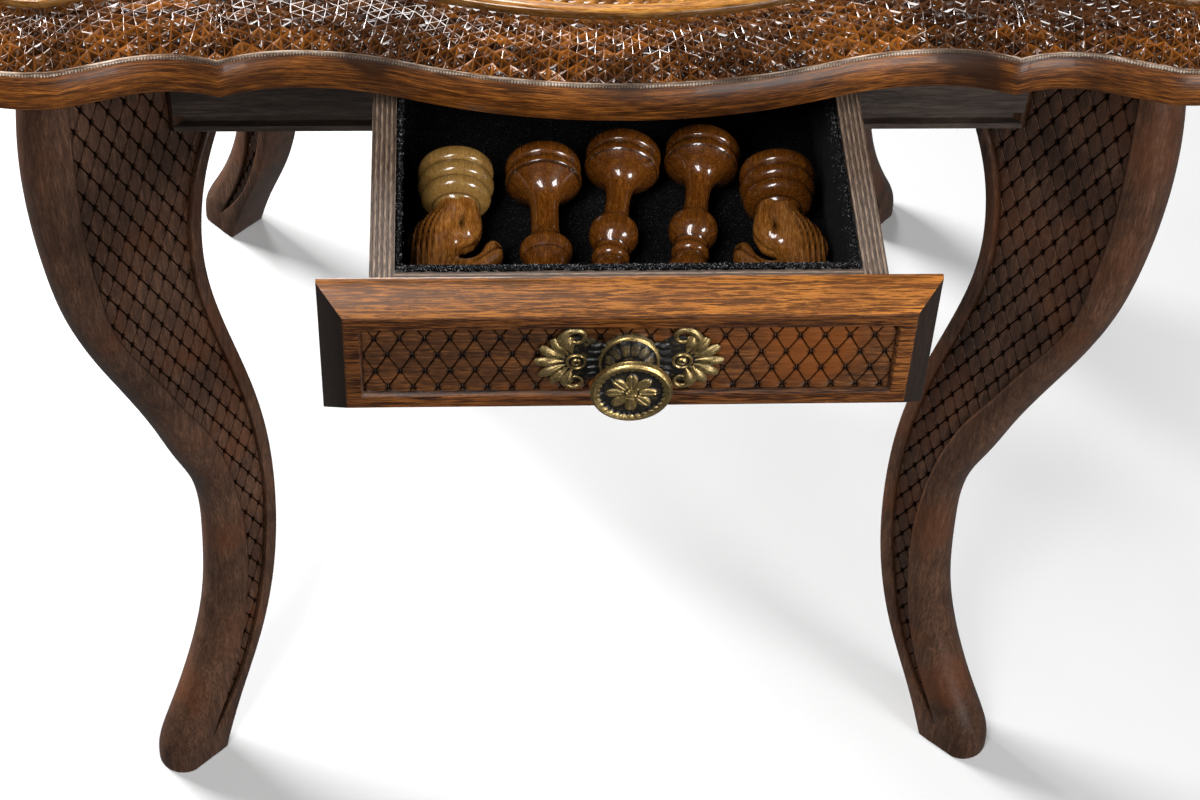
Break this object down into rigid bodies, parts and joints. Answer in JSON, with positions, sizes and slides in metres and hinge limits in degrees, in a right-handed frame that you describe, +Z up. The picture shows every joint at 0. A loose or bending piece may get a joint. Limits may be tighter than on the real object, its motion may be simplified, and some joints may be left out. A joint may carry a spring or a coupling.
{
  "type": "chess table",
  "caption": "Square chess table with a carved scalloped top, S-shaped plank legs with carved lattice sides, aprons and felt-lined drawers with brass pulls; chess pieces lie in the open drawer.",
  "frame": {"origin": "on the floor, midway between the four feet, under the middle of the table top", "axes": "+Z up, -Y towards the player at the open front drawer, +X to that player's right"},
  "size_m": [0.8358, 0.9729, 0.772],
  "materials": {
    "lacquered_wood": "gloss lacquer over carved, amber-stained wood",
    "dark_walnut": "satin dark walnut stain",
    "walnut_veneer": "gloss lacquer",
    "maple_veneer": "gloss lacquer",
    "border_veneer": "gloss lacquer",
    "beech": "bare sanded wood",
    "plywood": "stained plywood with visible plies",
    "black_felt": "black flocked felt",
    "antique_brass": "antique brass with black patina",
    "zinc_steel": "zinc plate",
    "lacquered_pieces": "gloss lacquer"
  },
  "bodies": {
    "table": {"table_top": "lacquered_wood", "rope_moulding": "lacquered_wood", "board_panel": "plywood", "board_border": "border_veneer", "dark_squares": "walnut_veneer", "light_squares": "maple_veneer", "front_apron": "dark_walnut", "rear_apron": "dark_walnut", "left_apron": "dark_walnut", "right_apron": "dark_walnut", "front_left_leg": "dark_walnut", "front_right_leg": "dark_walnut", "rear_left_leg": "dark_walnut", "rear_right_leg": "dark_walnut", "front_left_block": "beech", "front_right_block": "beech", "rear_left_block": "beech", "rear_right_block": "beech", "leg_bolts": "zinc_steel", "leg_nuts": "zinc_steel", "top_screws": "zinc_steel", "left_runner": "beech", "right_runner": "beech", "left_kicker": "beech", "right_kicker": "beech", "drawer_stop": "beech"},
    "front_drawer": {"front_drawer_front": "lacquered_wood", "front_drawer_left_side": "plywood", "front_drawer_right_side": "plywood", "front_drawer_inner_front": "plywood", "front_drawer_back": "plywood", "front_drawer_bottom": "plywood", "front_drawer_lining": "black_felt", "front_pull_backplate": "antique_brass", "front_pull_knob": "antique_brass", "front_pull_bolt": "zinc_steel", "front_pull_screws": "antique_brass", "front_front_screws": "zinc_steel", "chess_knight_left": "lacquered_pieces", "chess_rook": "lacquered_pieces", "chess_bishop_left": "lacquered_pieces", "chess_bishop_right": "lacquered_pieces", "chess_knight_right": "lacquered_pieces"},
    "rear_drawer": {"rear_drawer_front": "lacquered_wood", "rear_drawer_left_side": "plywood", "rear_drawer_right_side": "plywood", "rear_drawer_inner_front": "plywood", "rear_drawer_back": "plywood", "rear_drawer_bottom": "plywood", "rear_drawer_lining": "black_felt", "rear_pull_backplate": "antique_brass", "rear_pull_knob": "antique_brass", "rear_pull_bolt": "zinc_steel", "rear_pull_screws": "antique_brass", "rear_front_screws": "zinc_steel"}
  },
  "joints": [
    {"name": "front_drawer_slide", "type": "slide", "parent": "table", "child": "front_drawer", "axis": [0, -1, 0], "range_m": [-0.2408, 0]},
    {"name": "rear_drawer_slide", "type": "slide", "parent": "table", "child": "rear_drawer", "axis": [0, 1, 0], "range_m": [0, 0.2408]}
  ]
}
